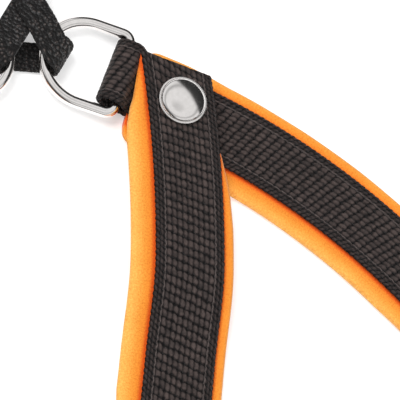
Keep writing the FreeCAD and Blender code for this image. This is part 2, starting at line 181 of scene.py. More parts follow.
# Stitching
STITCH_PITCH = 1.8
STITCH_SHARE = 0.44
STITCH_RISE = 0.10
STITCH_SINK = 0.24
STITCH_SPOTS = 7
THREAD_RADIUS = 0.26
THREAD_SIDES = 8
SEAM_BACK = -10.5
SEAM_SIZE = (7.4, 13.4)
STEM_SEAM_BACK = 11.0
STEM_SEAM_SIZE = (5.0, 6.4)

# Plastic mouldings
WELD_GAP = 0.005
FLAT_ANGLE = 1.5
EASED_WIDTH = 0.35
SHARP_ANGLE = 35

# Camera, aimed at a place measured from the rivet
CAMERA_TILT = 26.0
CAMERA_METRES_BACK = 0.6
AIM_OFFSET = (7.1, -25.9)

TWO_SIDES = ("right", "left")


def joint(name):
    return next(j for j in frame["joints"] if j["name"] == name)


def place(name):
    """Where a joint is, in millimetres."""
    return np.array(joint(name)["pos_m"]) / MM


RIVET = place("rivet_swing_right")
TAB_BAR = place("girth_fold_right")
GIRTH_BAR = place("girth_buckle_turn_right")
SHOULDER_BAR = place("shoulder_buckle_turn_right")
STEM_BAR = place("leash_ring_turn")
STRAP_TOP = PAD_THICK + WEBBING_THICK


# ---------------------------------------------------------------- shapes

def unit(heading):
    angle = math.radians(heading)
    return np.array([math.cos(angle), math.sin(angle), 0.0])


def smooth_line(points, sides, spread, step):
    """A polyline and its side vectors, evenly spaced and rounded at its corners."""
    points = np.asarray(points, float)
    sides = np.asarray(sides, float)
    lengths = np.linalg.norm(np.diff(points, axis=0), axis=1)
    along = np.concatenate([[0], np.cumsum(lengths)])
    count = int(along[-1] / step) + 2
    even = np.linspace(0, along[-1], count)
    line = np.stack([np.interp(even, along, points[:, k]) for k in range(3)], 1)
    side = np.stack([np.interp(even, along, sides[:, k]) for k in range(3)], 1)
    reach = max(1, int(spread / step))
    weights = np.hanning(2 * reach + 3)[1:-1]
    weights /= weights.sum()
    for rows in (line, side):
        ends = np.vstack([
            2 * rows[0] - rows[reach:0:-1],
            rows,
            2 * rows[-1] - rows[-2:-reach - 2:-1],
        ])
        for k in range(3):
            rows[:, k] = np.convolve(ends[:, k], weights, "valid")
    return line, side


def arc_points(centre, across, up, radius, start, end, count):
    """Points on an arc from one angle to another, in the plane of across and up."""
    return [
        centre + radius * (math.cos(a) * across + math.sin(a) * up)
        for a in np.linspace(start, end, count)
    ]


def new_object(name, vertices, faces, material):
    """A smooth-shaded mesh from points in millimetres."""
    mesh = bpy.data.meshes.new(name)
    mesh.from_pydata((np.asarray(vertices) * MM).tolist(), [], faces)
    mesh.update()
    mesh.polygons.foreach_set("use_smooth", [True] * len(mesh.polygons))
    made = bpy.data.objects.new(name, mesh)
    bpy.context.scene.collection.objects.link(made)
    made.data.materials.append(material)
    return made


def grid_faces(rings, around):
    """Quads between closed rings of points, and a row of quads across each end."""
    ring = np.arange(rings - 1)[:, None] * around
    here = np.arange(around)[None, :]
    there = (here + 1) % around
    quads = np.stack([ring + here, ring + there, ring + around + there, ring + around + here], -1)
    faces = quads.reshape(-1, 4).tolist()
    half = around // 2
    last = (rings - 1) * around
    for j in range(half - 1):
        faces.append([j + 1, j, around - 1 - j, around - 2 - j])
        faces.append([last + j, last + j + 1, last + around - 2 - j, last + around - 1 - j])
    return faces


def ribbon(
    name, material, line, side, left, right, thick, columns, edge, relief, start_slant=0.0
):
    """A flat strap along a line. left and right are its half-widths along the side vectors.

    The attributes along, across and inset say where each point is, in millimetres: inset is its
    distance from the nearer edge. relief says how far the surface dips."""
    count = len(line)
    tangent = np.gradient(line, axis=0)
    tangent /= np.linalg.norm(tangent, axis=1)[:, None]
    up = np.cross(tangent, side)
    up /= np.linalg.norm(up, axis=1)[:, None]
    steps = np.linalg.norm(np.diff(line, axis=0), axis=1)
    along = np.concatenate([[0], np.cumsum(steps)])
    share = np.linspace(0, 1, columns)
    share = share - COLUMN_CROWDING * np.sin(2 * math.pi * share)
    left = np.broadcast_to(left, count)[:, None]
    right = np.broadcast_to(right, count)[:, None]
    across = -left + (left + right) * share[None, :]
    inset = np.minimum(across + left, right - across)
    corner = np.minimum(edge, np.maximum(np.minimum(left, right), 1e-3))
    rounding = np.sqrt(np.clip(1 - (1 - np.clip(inset / corner, 0, 1)) ** 2, 0.0, 1))
    half = thick / 2 * np.maximum(rounding, THINNEST_EDGE)
    fading = np.clip(1 - along / SLANT_REACH, 0, 1)[:, None] ** SLANT_POWER
    slant = start_slant * across * fading
    beside = across[..., None] * side[:, None, :]
    ahead = slant[..., None] * tangent[:, None, :]
    base = line[:, None, :] + beside + ahead
    along_grid = np.broadcast_to(along[:, None], across.shape)
    top_half = half - relief(across, along_grid, left, right)
    low_half = half - relief(-across, along_grid + UNDERSIDE_SHIFT, right, left)
    top = base + top_half[..., None] * up[:, None, :]
    low = base - low_half[..., None] * up[:, None, :]
    vertices = np.concatenate([top, low[:, ::-1]], 1).reshape(-1, 3)
    made = new_object(name, vertices, grid_faces(count, 2 * columns), material)
    for label, grid in (("across", across), ("along", along_grid), ("inset", inset)):
        both = np.concatenate([grid, grid[:, ::-1]], 1).reshape(-1)
        made.data.attributes.new(label, "FLOAT", "POINT").data.foreach_set("value", both)
    return made


def weave_relief(across, along, left, right):
    """How far the surface of the webbing dips, in millimetres: rounded floats in slanting rows."""
    column = np.round(across / WEAVE_COLUMN)
    off_column = across / WEAVE_COLUMN - column
    a = np.abs(2 * off_column)
    phase = along / WEAVE_ROW + WEAVE_SLANT * column + WEAVE_LEAN * 2 * off_column
    b = np.abs(2 * (phase - np.round(phase)))
    dip = RIDGE_DEPTH * a**RIDGE_POWER + ROW_DEPTH * b**ROW_POWER
    dip = dip + HOLE_DEPTH * (a * b) ** HOLE_POWER
    return WEAVE_DEPTH * np.clip(dip, 0, DEEPEST_DIP)


def mirrored(made, name):
    """The left-hand copy of a right-hand piece."""
    copy = made.copy()
    copy.data = made.data.copy()
    copy.name = name
    copy.data.transform(Matrix.Diagonal((-1, 1, 1, 1)))
    copy.data.flip_normals()
    bpy.context.scene.collection.objects.link(copy)
    return copy


def both_sides(made, body, node, slot, **options):
    """Puts a piece and its mirror image on the two sides' bodies."""
    pair = [made, mirrored(made, made.name.replace("_right", "_left"))]
    for piece, side in zip(pair, TWO_SIDES):
        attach(piece, "%s_%s" % (body, side))
        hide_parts("%s_%s" % (node, side))


# ---------------------------------------------------------------- materials

def set_stops(ramp, stops):
    """Gives a colour ramp its (position, colour) stops."""
    while len(ramp.elements) < len(stops):
        ramp.elements.new(0.5)
    for element, (position, colour) in zip(ramp.elements, stops):
        element.position = position
        element.color = (*colour, 1)


class Nodes:
    """A material's node tree, with short calls for the nodes that are used often."""

    def __init__(self, name):
        self.material = bpy.data.materials.new(name)
        self.material.use_nodes = True
        self.tree = self.material.node_tree
        self.shader = next(n for n in self.tree.nodes if n.type == "BSDF_PRINCIPLED")

    def add(self, kind, **settings):
        node = self.tree.nodes.new(kind)
        for key, value in settings.items():
            setattr(node, key, value)
        return node

    def link(self, source, target):
        self.tree.links.new(source, target)

    def feed(self, socket, value):
        """Sets a socket to a number or a colour, or links another node's output to it."""
        if isinstance(value, (int, float)):
            socket.default_value = value
        elif isinstance(value, tuple):
            socket.default_value = (*value, 1)
        else:
            self.link(value, socket)

    def math(self, operation, first, second=0.0):
        node = self.add("ShaderNodeMath", operation=operation)
        self.feed(node.inputs[0], first)
        self.feed(node.inputs[1], second)
        return node.outputs[0]

    def attribute(self, name):
        return self.add("ShaderNodeAttribute", attribute_name=name).outputs["Fac"]

    def place(self, x, y, z=0.0):
        node = self.add("ShaderNodeCombineXYZ")
        for socket, value in zip(node.inputs, (x, y, z)):
            self.feed(socket, value)
        return node.outputs[0]

    def noise(self, scale, detail=3.0, vector=None, roughness=0.5):
        node = self.add("ShaderNodeTexNoise")
        node.inputs["Scale"].default_value = scale
        node.inputs["Detail"].default_value = detail
        node.inputs["Roughness"].default_value = roughness
        self.link(vector or self.add("ShaderNodeTexCoord").outputs["Object"], node.inputs["Vector"])
        return node.outputs["Fac"]

    def ramp(self, fac, *stops):
        node = self.add("ShaderNodeValToRGB")
        set_stops(node.color_ramp, stops)
        self.feed(node.inputs[0], fac)
        return node.outputs[0]

    def mix(self, fac, first, second, blend="MIX"):
        node = self.add("ShaderNodeMix", data_type="RGBA", blend_type=blend)
        self.feed(node.inputs[0], fac)
        self.feed(node.inputs[6], first)
        self.feed(node.inputs[7], second)
        return node.outputs[2]

    def bump(self, height, strength, distance, under=None):
        node = self.add("ShaderNodeBump")
        node.inputs["Strength"].default_value = strength
        node.inputs["Distance"].default_value = distance
        self.link(height, node.inputs["Height"])
        if under is not None:
            self.link(under, node.inputs["Normal"])
        return node.outputs["Normal"]

    def set(self, **values):
        """Feeds the shader's inputs by name, and gives back the finished material."""
        for key, value in values.items():
            self.feed(self.shader.inputs[key.replace("_", " ").title()], value)
        return self.material


def float_humps(n, across, along, column_width, row_pitch, slant, lean):
    """The height of woven floats, 0 in the gaps to 1 on top: rounded lozenges in slanting rows."""
    scaled = n.math("DIVIDE", across, column_width)
    column = n.math("ROUND", scaled)
    a = n.math("MULTIPLY", n.math("SUBTRACT", scaled, column), 2.0)
    rows = n.math("ADD", n.math("DIVIDE", along, row_pitch), n.math("MULTIPLY", column, slant))
    rows = n.math("ADD", rows, n.math("MULTIPLY", a, lean))
    b = n.math("MULTIPLY", n.math("SUBTRACT", rows, n.math("ROUND", rows)), 2.0)
    a_size, b_size = n.math("ABSOLUTE", a), n.math("ABSOLUTE", b)
    both = n.math("MULTIPLY", a_size, b_size)
    ridge = n.math("MULTIPLY", n.math("POWER", a_size, RIDGE_POWER), RIDGE_DEPTH)
    row_gap = n.math("MULTIPLY", n.math("POWER", b_size, ROW_POWER), ROW_DEPTH)
    hole = n.math("MULTIPLY", n.math("POWER", both, HOLE_POWER), HOLE_DEPTH)
    dip = n.math("ADD", n.math("ADD", ridge, row_gap), hole)
    return n.math("MAXIMUM", n.math("SUBTRACT", 1.0, dip), 0.0), column


def webbing_material():
    """Heavy black webbing: rounded floats, finer selvedges, gaps darkened with painted shade, and
    stray light fibres.
    """
    n = Nodes("webbing")
    across = n.attribute("across")
    along = n.attribute("along")
    spot = n.place(across, along)
    drift = n.math("MULTIPLY", n.math("SUBTRACT", n.noise(0.35, 2.0, spot), 0.5), 0.9)
    frayed = n.math("MULTIPLY", n.math("SUBTRACT", n.noise(0.9, 3.0, spot), 0.5), 1.1)
    shifted = n.math("ADD", along, n.math("ADD", drift, frayed))
    side_drift = n.noise(0.8, 2.0, n.place(along, across))
    sway = n.math("MULTIPLY", n.math("SUBTRACT", side_drift, 0.5), 0.8)
    woven_across = n.math("ADD", across, sway)
    body_pitch = (WEAVE_COLUMN, WEAVE_ROW, WEAVE_SLANT, WEAVE_LEAN)
    edge_pitch = (SELVEDGE_COLUMN, SELVEDGE_ROW, SELVEDGE_SLANT, SELVEDGE_LEAN)
    body, column = float_humps(n, woven_across, shifted, *body_pitch)
    edge, _ = float_humps(n, woven_across, shifted, *edge_pitch)
    at_edge = n.math("LESS_THAN", n.attribute("inset"), SELVEDGE_WIDTH)
    height = n.math(
        "ADD",
        n.math("MULTIPLY", body, n.math("SUBTRACT", 1.0, at_edge)),
        n.math("MULTIPLY", n.math("MULTIPLY", edge, 0.85), at_edge),
    )
    thread_spot = n.place(n.math("MULTIPLY", across, 9.0), n.math("MULTIPLY", along, 1.6))
    threads = n.noise(1.0, 2.0, thread_spot)
    float_spot = n.place(n.math("MULTIPLY", column, 3.7), n.math("DIVIDE", shifted, WEAVE_ROW))
    uneven = n.noise(1.3, 2.0, float_spot)
    # Painted shade: the colour darkens from the floats' tops down into the weave's gaps, where shade
    # falls.
    colour = n.ramp(
        height,
        (0.0, (0.0006, 0.0003, 0.0004)),
        (0.4, (0.0022, 0.0012, 0.0013)),
        (0.7, (0.015, 0.0105, 0.0098)),
        (1.0, (0.050, 0.0375, 0.0345)),
    )
    tone = n.ramp(threads, (0.3, (0.72, 0.70, 0.70)), (0.7, (1.3, 1.28, 1.26)))
    colour = n.mix(1.0, colour, tone, "MULTIPLY")
    shade = n.ramp(uneven, (0.3, (0.5, 0.48, 0.48)), (0.72, (1.5, 1.46, 1.44)))
    colour = n.mix(1.0, colour, shade, "MULTIPLY")
    # Painted highlight: a paler line along each stitched seam, for the sheen of the black thread.
    seam_gap = n.math("ABSOLUTE", n.math("SUBTRACT", n.attribute("inset"), SELVEDGE_SEAM))
    seam_highlight = n.math("LESS_THAN", n.math("ADD", seam_gap, n.math("MULTIPLY", threads, 0.5)), 0.42)
    colour = n.mix(n.math("MULTIPLY", seam_highlight, 0.3), colour, (0.20, 0.16, 0.15))
    fibre_spot = n.place(n.math("MULTIPLY", across, 2.2), n.math("MULTIPLY", along, 0.16))
    fibre = n.noise(2.4, 4.0, fibre_spot, 0.75)
    stray = n.ramp(fibre, (0.735, (0, 0, 0)), (0.76, (1, 1, 1)))
    colour = n.mix(n.math("MULTIPLY", stray, 0.35), colour, (0.33, 0.28, 0.26))
    low = n.bump(height, 1.0, 0.7 * MM)
    fine = n.bump(threads, 0.35, 0.12 * MM, low)
    rough = n.ramp(height, (0.0, (0.95, 0.95, 0.95)), (1.0, (0.6, 0.6, 0.6)))
    n.set(sheen_weight=0.05, sheen_roughness=0.45)
    return n.set(base_color=colour, roughness=rough, normal=fine)


def knit_material():
    """The thin control strap: small pebbly stitches, with painted shade in the gaps between them and
    painted highlights on their tops.
    """
    n = Nodes("knit_strap")
    across = n.attribute("across")
    along = n.attribute("along")
    spot = n.place(across, along)
    cells = n.add("ShaderNodeTexVoronoi", feature="F1")
    cells.inputs["Scale"].default_value = 0.95
    cells.inputs["Randomness"].default_value = 0.8
    n.link(spot, cells.inputs["Vector"])
    pebble = n.math("SUBTRACT", 1.0, n.math("MULTIPLY", cells.outputs["Distance"], 1.35))
    fuzz = n.noise(3.2, 4.0, spot)
    height = n.math("ADD", pebble, n.math("MULTIPLY", fuzz, 0.4))
    # Painted shade and highlight: near-black in the gaps between the stitches, much lighter on their
    # tops.
    colour = n.ramp(
        height,
        (0.45, (0.0010, 0.0006, 0.0006)),
        (0.75, (0.0085, 0.006, 0.0055)),
        (1.05, (0.085, 0.068, 0.062)),
    )
    n.set(sheen_weight=0.2, sheen_roughness=0.5)
    return n.set(base_color=colour, roughness=0.85, normal=n.bump(height, 1.0, 0.8 * MM))


def pad_material():
    """Orange knit-faced foam, with painted shade beside the webbing: deeper and redder there, paler
    at the outer edge.
    """
    n = Nodes("pad_fabric")
    across = n.attribute("across")
    along = n.attribute("along")
    spot = n.place(across, along)
    margin = n.math("SUBTRACT", n.math("ABSOLUTE", across), WEBBING_WIDTH / 2)
    # Painted shade: the orange is deeper and redder where the webbing lies on the foam, paler
    # towards the outer edge.
    colour = n.ramp(
        n.math("DIVIDE", margin, 6.0),
        (0.02, (0.82, 0.11, 0.007)),
        (0.17, (0.84, 0.25, 0.021)),
        (0.45, (0.86, 0.32, 0.036)),
        (0.95, (0.89, 0.44, 0.085)),
    )
    rib_a = n.math("SINE", n.math("MULTIPLY", across, 2 * math.pi / 0.55))
    rib_b = n.math("SINE", n.math("MULTIPLY", along, 2 * math.pi / 0.42))
    knit = n.math("MULTIPLY", rib_a, rib_b)
    speck = n.noise(1.9, 5.0, spot, 0.8)
    patches = n.noise(0.12, 2.0, spot)
    tone = n.ramp(speck, (0.38, (0.84, 0.66, 0.48)), (0.6, (1.08, 1.16, 1.35)))
    colour = n.mix(0.9, colour, tone, "MULTIPLY")
    warm = n.ramp(patches, (0.3, (0.97, 0.92, 0.86)), (0.7, (1.03, 1.05, 1.1)))
    colour = n.mix(0.8, colour, warm, "MULTIPLY")
    low = n.bump(knit, 0.22, 0.08 * MM)
    fine = n.bump(speck, 0.5, 0.16 * MM, low)
    n.set(sheen_weight=0.35, sheen_roughness=0.4)
    return n.set(base_color=colour, roughness=0.85, normal=fine)


def chrome_material(name, roughness):
    """Plated steel: a mirror polish with faint handling marks."""
    n = Nodes(name)
    marks = n.noise(900.0, 3.0)
    scratches = n.noise(140.0, 5.0, None, 0.7)
    rough = n.ramp(scratches, (0.35, (roughness,) * 3), (0.75, (roughness + 0.1,) * 3))
    colour = n.ramp(marks, (0.2, (0.84, 0.81, 0.79)), (0.8, (0.93, 0.90, 0.885)))
    fine = n.bump(scratches, 0.05, 0.05 * MM)
    return n.set(base_color=colour, metallic=1.0, roughness=rough, normal=fine)


def plastic_material():
    """Moulded black plastic with a fine spark-eroded grain."""
    n = Nodes("moulded_plastic")
    grain = n.noise(2600.0, 2.0)
    worn = n.noise(60.0, 4.0)
    colour = n.ramp(worn, (0.3, (0.013, 0.013, 0.014)), (0.75, (0.022, 0.022, 0.024)))
    rough = n.ramp(worn, (0.3, (0.42, 0.42, 0.42)), (0.7, (0.55, 0.55, 0.55)))
    return n.set(base_color=colour, roughness=rough, normal=n.bump(grain, 0.3, 0.06 * MM))


def thread_material():
    """Bonded black thread, with the twist of its plies."""
    n = Nodes("thread")
    twist = n.noise(4200.0, 2.0)
    colour = n.ramp(twist, (0.35, (0.010, 0.008, 0.008)), (0.7, (0.06, 0.052, 0.05)))
    return n.set(base_color=colour, roughness=0.5, normal=n.bump(twist, 0.5, 0.08 * MM))


def surface_material():
    """A white table top, faintly lit from within so that shadows stay pale."""
    n = Nodes("surface")
    n.set(emission_color=(1, 1, 1), emission_strength=0.42)
    return n.set(base_color=(0.68, 0.68, 0.68), roughness=0.9)


# ---------------------------------------------------------------- the harness

webbing = webbing_material()
knit = knit_material()
pad_fabric = pad_material()
polished = chrome_material("rivet_chrome", 0.13)
plated = chrome_material("ring_chrome", 0.07)
plastic = plastic_material()
thread = thread_material()


class Bend:
    """A strap's centre line: an arc through the rivet that turns clockwise."""

    def __init__(self, heading, radius):
        self.heading = heading
        self.radius = radius
        self.centre = RIVET - radius * unit(heading + 90)

    def direction(self, along):
        return self.heading - math.degrees(along / self.radius)

    def point(self, along, z):
        spot = self.centre + self.radius * unit(self.direction(along) + 90)
        return np.array([spot[0], spot[1], z])

    def left(self, along):
        return unit(self.direction(along) + 90)


girth = Bend(GIRTH_HEADING, GIRTH_BEND)
shoulder = Bend(SHOULDER_HEADING, SHOULDER_BEND)
UP = np.array([0.0, 0.0, 1.0])


def lift(along):
    """How far the shoulder strap is held up over the girth strap, at a distance past the rivet."""
    share = min(1.0, max(0.0, (along - RAMP_START) / (RAMP_END - RAMP_START)))
    return LIFT * (1 - share * share * (3 - 2 * share))


def tail_fold(bar, heading, thick_mid, loop):
    """The end of a strap: along the top, round the buckle's bar and back underneath."""
    forward = unit(heading)
    points = [bar - TAIL_LEAD * forward + UP * (thick_mid - bar[2])]
    points += [bar - BAR_LEAD * forward + UP * loop]
    points += arc_points(bar, forward, UP, loop, math.pi / 2, -math.pi / 2, 13)
    points += [bar - SEWN_LENGTH * forward - UP * loop]
    return points


def scalloped(count):
    """The webbing's half-width at each step along it: the weft's turns make small scallops."""
    along = LINE_STEP * np.arange(count)
    wave = np.abs(np.sin(math.pi * along / SELVEDGE_ROW))
    return WEBBING_WIDTH / 2 - SCALLOP_INSET + SCALLOP_DEPTH * wave


def webbing_strap(name, points, sides, start_slant=0.0):
    """Webbing along a line of points, with its weave and scalloped edges."""
    line, side = smooth_line(points, sides, WEBBING_SPREAD, LINE_STEP)
    half = scalloped(len(line))
    shape = (WEBBING_THICK, WEBBING_COLUMNS, WEBBING_EDGE)
    return ribbon(name, webbing, line, side, half, half, *shape, weave_relief, start_slant)


def girth_strap():
    """The girth webbing as one length: from its end, round the D-ring's bar and on to its buckle."""
    out = unit(TAB_HEADING)
    loop = TAB_BAR[2] - TAB_CLEARANCE - WEBBING_THICK / 2
    mid = PAD_THICK + WEBBING_THICK / 2
    points = [TAB_BAR - TAB_BACK * out - UP * loop]
    turn_centre = TAB_BAR + TAB_SLACK * out
    points += arc_points(turn_centre, out, -UP, loop, math.pi / 2, -math.pi / 2, 15)
    points += [TAB_BAR - BAR_LEAD * out + UP * loop]
    points += [TAB_BAR - back * out + UP * (mid - TAB_BAR[2]) for back in TAB_LANDING]
    sides = [unit(TAB_HEADING - 90)] * len(points)
    for along in np.arange(0.0, GIRTH_PAD_LENGTH, 3.0):
        points.append(girth.point(along, mid))
        sides.append(girth.left(along))
    points.append(girth.point(GIRTH_PAD_LENGTH, mid))
    turn = girth.direction(GIRTH_PAD_LENGTH)
    tail_loop = GIRTH_BAR[2] - TAIL_CLEARANCE - WEBBING_THICK / 2
    points += tail_fold(GIRTH_BAR, turn, mid, tail_loop)
    sides += [unit(turn + 90)] * (len(points) - len(sides))
    return webbing_strap("girth_webbing_weave_right", points, sides)


def shoulder_strap():
    """The shoulder webbing: cut at a slant by the rivet, over the girth strap, round its buckle."""
    mid = PAD_THICK + WEBBING_THICK / 2
    points, sides = [], []
    for along in np.arange(SHOULDER_START, SHOULDER_BENT, 2.0):
        points.append(shoulder.point(along, mid + lift(along)))
        sides.append(shoulder.left(along))
    points.append(shoulder.point(SHOULDER_BENT, mid))
    turn = shoulder.direction(SHOULDER_BENT)
    loop = SHOULDER_BAR[2] - TAIL_CLEARANCE - WEBBING_THICK / 2
    points += tail_fold(SHOULDER_BAR, turn, mid, loop)
    sides += [unit(turn + 90)] * (len(points) - len(sides))
    return webbing_strap("shoulder_webbing_weave_right", points, sides, SHOULDER_SLANT)


def pad_relief(across, along, left, right):
    """The foam is pressed flat under the webbing and swells a little in the two margins."""
    inset = np.minimum(across + left, right - across)
    pressed = np.clip((inset - PAD_MARGIN) / PAD_MARGIN_BLEND, 0, 1)
    pressed = pressed * pressed * (3 - 2 * pressed)
    uneven = 0.05 * np.sin(along / 7.0 + across / 11.0) + 0.04 * np.sin(along / 2.9)
    return PAD_PRESSED * pressed + uneven * (1 - pressed) + PAD_SINK


def rounded_half(distance, full, radius):
    """The half-width near an end that is rounded to a radius."""
    inside = np.clip(radius - distance, 0, radius)
    rounding = np.sqrt(np.maximum(radius**2 - inside**2, 0.0))
    return np.maximum(full - radius + rounding, 0.15)


def pad_cushion(name, line, side, left, right, start_slant=0.0):
    """A pad along a line, with its pressed middle and swollen margins."""
    shape = (PAD_THICK, PAD_COLUMNS, PAD_EDGE)
    return ribbon(name, pad_fabric, line, side, left, right, *shape, pad_relief, start_slant)


def girth_cushion():
    """The girth pad: square with soft corners by the D-ring, round at its far end."""
    start, end = GIRTH_PAD_START, GIRTH_PAD_LENGTH
    full = PAD_WIDTH / 2
    turn = girth.direction(end)
    points, sides = [], []
    for along in np.arange(start, end, 2.0):
        points.append(girth.point(along, PAD_THICK / 2))
        sides.append(girth.left(along))
    tip = girth.point(end, PAD_THICK / 2)
    for beyond in (0.0, 5.0, 10.0, full - PAD_TIP_GAP):
        points.append(tip + beyond * unit(turn))
        sides.append(unit(turn + 90))
    line, side = smooth_line(points, sides, PAD_SPREAD, PAD_STEP)
    along = np.linspace(0, end - start + full, len(line))
    left_over = along[-1] - along
    half = np.minimum(rounded_half(along, full, PAD_CORNER), rounded_half(left_over, full, full))
    shift = np.interp(along, [13, 25, 95, 110], [0, GIRTH_PAD_SHIFT, GIRTH_PAD_SHIFT, 0])
    return pad_cushion("girth_cushion_right", line, side, half + shift, half - shift)


def shoulder_cushion():
    """The shoulder pad: narrow at its slanted top end and widening past the rivet."""
    start = SHOULDER_START
    turn = shoulder.direction(SHOULDER_BENT)
    narrow, full = WEBBING_WIDTH / 2 - 0.1, PAD_WIDTH / 2
    points, sides = [], []
    for along in np.arange(start, SHOULDER_BENT, 2.0):
        points.append(shoulder.point(along, PAD_THICK / 2 + lift(along)))
        sides.append(shoulder.left(along))
    corner = shoulder.point(SHOULDER_BENT, PAD_THICK / 2)
    straight = SHOULDER_PAD_LENGTH - SHOULDER_BENT
    for beyond in (0.0, straight / 2, straight, straight + 8.0, straight + full - PAD_TIP_GAP):
        points.append(corner + beyond * unit(turn))
        sides.append(unit(turn + 90))
    line, side = smooth_line(points, sides, PAD_SPREAD, PAD_STEP)
    along = np.linspace(start, SHOULDER_PAD_LENGTH + full, len(line))
    inner_widths = [narrow, narrow + 0.8, full - 0.7, full]
    inner = np.interp(along, [start, -8.0, 2.0, 6.0], inner_widths)
    outer_widths = [narrow, narrow + 0.6, narrow + 2.9, full - 0.5, full]
    outer = np.interp(along, [start, 5.0, 16.0, 27.0, 36.0], outer_widths)
    shift = np.interp(along, [0, 10, 85, 100], [0, SHOULDER_PAD_SHIFT, SHOULDER_PAD_SHIFT, 0])
    tip = rounded_half(along[-1] - along, full, full)
    left, right = np.minimum(inner, tip) + shift, np.minimum(outer, tip) - shift
    return pad_cushion("shoulder_cushion_right", line, side, left, right, SHOULDER_SLANT)


def wire_loop(name, points):
    """Round plated wire along a closed line of points."""
    points = np.asarray(points, float)
    tangent = np.roll(points, -1, 0) - np.roll(points, 1, 0)
    tangent /= np.linalg.norm(tangent, axis=1)[:, None]
    out = np.cross(tangent, UP)
    out /= np.maximum(np.linalg.norm(out, axis=1), 1e-6)[:, None]
    over = np.cross(out, tangent)
    sides = WIRE_SIDES
    angle = np.linspace(0, 2 * math.pi, sides, endpoint=False)[None, :, None]
    ring = np.cos(angle) * out[:, None, :] + np.sin(angle) * over[:, None, :]
    vertices = (points[:, None, :] + WIRE_RADIUS * ring).reshape(-1, 3)
    count = len(points)
    faces = []
    for i in range(count):
        j = (i + 1) % count
        for k in range(sides):
            m = (k + 1) % sides
            faces.append([i * sides + k, j * sides + k, j * sides + m, i * sides + m])
    return new_object(name, vertices, faces, plated)


def ring_points(bar, heading, half, depth):
    """The centre line of a D-ring: a bar, two rounded corners, two arms and a half-round end."""
    out, left = unit(heading), unit(heading + 90)
    corner = RING_CORNER
    quarter = math.pi / 2

    def stretch(first, last):
        first, last = np.array(first), np.array(last)
        count = max(2, int(np.linalg.norm(last - first) / WIRE_STEP))
        shares = np.linspace(0, 1, count, endpoint=False)
        return [first + s * (last - first) for s in shares]

    def bend(centre, radius, start, end):
        count = max(8, int(abs(end - start) * radius / WIRE_STEP))
        angles = np.linspace(start, end, count, endpoint=False)
        centre = np.array(centre)
        return [centre + radius * np.array([math.cos(a), math.sin(a)]) for a in angles]

    flat = stretch((0, corner - half), (0, half - corner))
    flat += bend((corner, half - corner), corner, 2 * quarter, quarter)
    flat += stretch((corner, half), (depth - half, half))
    flat += bend((depth - half, 0), half, quarter, -quarter)
    flat += stretch((depth - half, -half), (corner, -half))
    flat += bend((corner, corner - half), corner, -quarter, -2 * quarter)
    return [bar + x * out + y * left for x, y in flat]


def lathe(name, material, outline, centre, steps=72):
    """A round piece turned about the rivet's axis, from its outline of (radius, height)."""
    rings = [(r, z) for r, z in outline if r > 1e-6]
    angles = np.linspace(0, 2 * math.pi, steps, endpoint=False)
    vertices = [
        (centre[0] + r * math.cos(a), centre[1] + r * math.sin(a), z)
        for r, z in rings
        for a in angles
    ]
    faces = []
    for i in range(len(rings) - 1):
        for k in range(steps):
            m = (k + 1) % steps
            faces.append([i * steps + k, i * steps + m, (i + 1) * steps + m, (i + 1) * steps + k])
    vertices.append((centre[0], centre[1], outline[0][1]))
    vertices.append((centre[0], centre[1], outline[-1][1]))
    low, high = len(vertices) - 2, len(vertices) - 1
    last = (len(rings) - 1) * steps
    for k in range(steps):
        m = (k + 1) % steps
        faces.append([low, m, k])
        faces.append([high, last + k, last + m])
    return new_object(name, vertices, faces, material)


def cap():
    """The rivet's cap: a polished dome inside a fine rolled rim."""
    under = RIVET[2]
    outline = [(0, POST_FOOT), (POST_RADIUS, POST_FOOT), (POST_RADIUS, under + CAP_GAP)]
    outline += [(CAP_HOLLOW, under + CAP_GAP)]
    rim_out, rim_up = CAP_RADIUS - RIM_RADIUS, under + RIM_HEIGHT
    for angle in np.linspace(-math.pi / 2, 0.66 * math.pi, 16):
        across, over = RIM_RADIUS * math.cos(angle), RIM_RADIUS * math.sin(angle)
        outline.append((rim_out + across, rim_up + over))
    dome_radius = CAP_RADIUS - DOME_INSET
    rise = CAP_RISE - DOME_FOOT
    for share in np.linspace(0, 1, 22):
        angle = share * math.pi / 2
        radius = dome_radius * math.cos(angle) ** DOME_POWER
        outline.append((radius, under + DOME_FOOT + rise * math.sin(angle)))
    outline[-1] = (0, under + CAP_RISE)
    return lathe("rivet_dome_right", polished, outline, RIVET)


def foot():
    """The rivet's flat foot, slightly dished with a rounded edge."""
    outline = [(0, 0.12), (3.6, 0.05), (5.2, 0.02), (5.75, 0.1)]
    outline += [(5.98, 0.32), (5.75, 0.6), (5.2, 0.68), (0, 0.68)]
    return lathe("rivet_foot_right", plated, outline, RIVET, 56)


